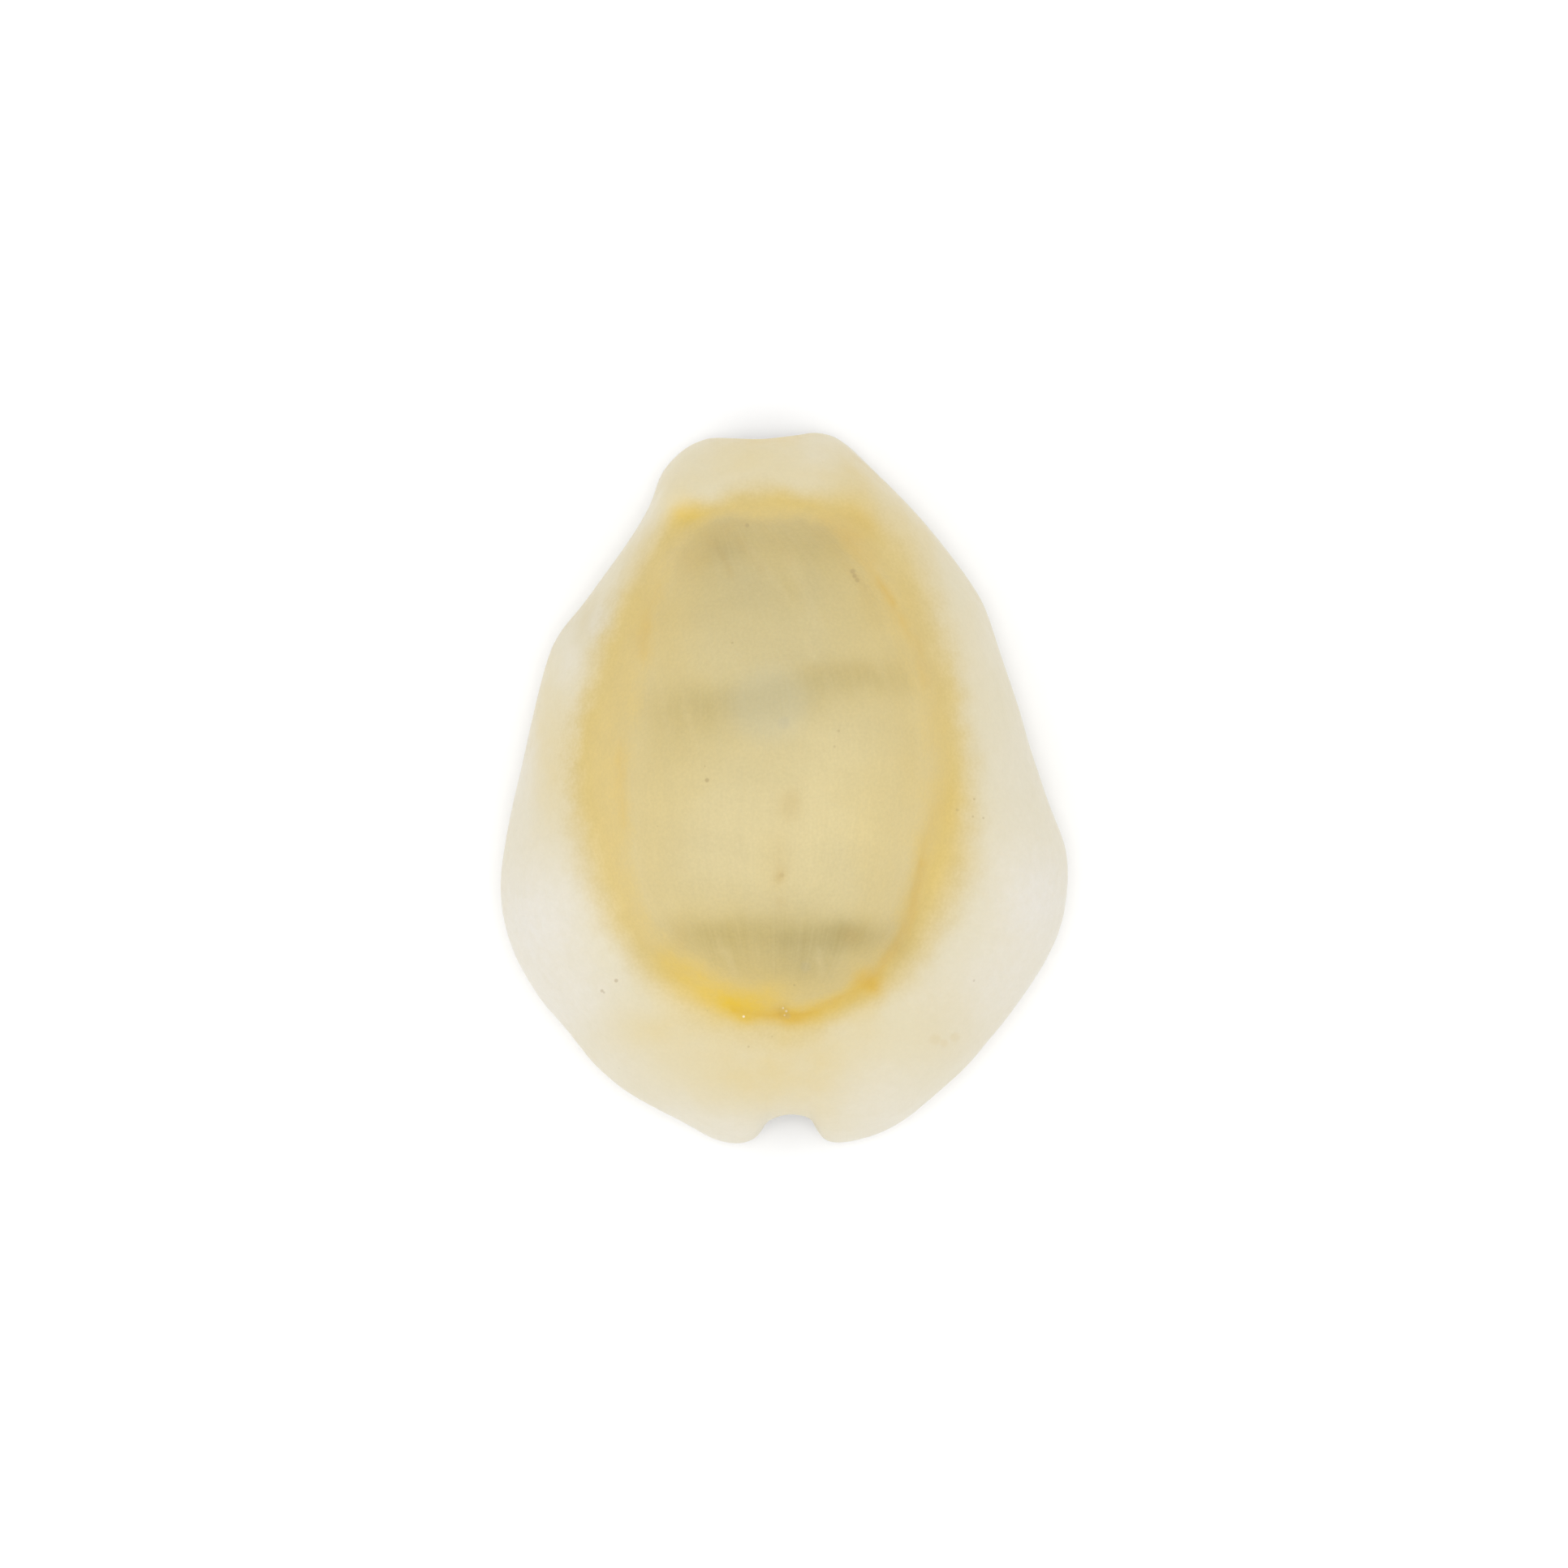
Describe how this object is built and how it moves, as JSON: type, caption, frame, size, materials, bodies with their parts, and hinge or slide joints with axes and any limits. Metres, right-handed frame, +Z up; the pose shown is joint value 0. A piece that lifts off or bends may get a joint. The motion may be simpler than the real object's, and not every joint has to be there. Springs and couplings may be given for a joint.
{
  "type": "cowrie shell",
  "caption": "Small cowrie sea shell with a domed back, a thick rounded rim, a notch at each end and a toothed slit along its flat base. It rests on its lips.",
  "frame": {"origin": "middle of the shell's outline, on the surface it rests on", "axes": "+Z up through the domed back, +Y to the narrow front end, +X to the outer lip's side"},
  "size_m": [0.0198, 0.025, 0.0123],
  "materials": {
    "enamel": "gloss"
  },
  "bodies": {
    "root": {"cowrie_shell": "enamel"}
  },
  "joints": []
}
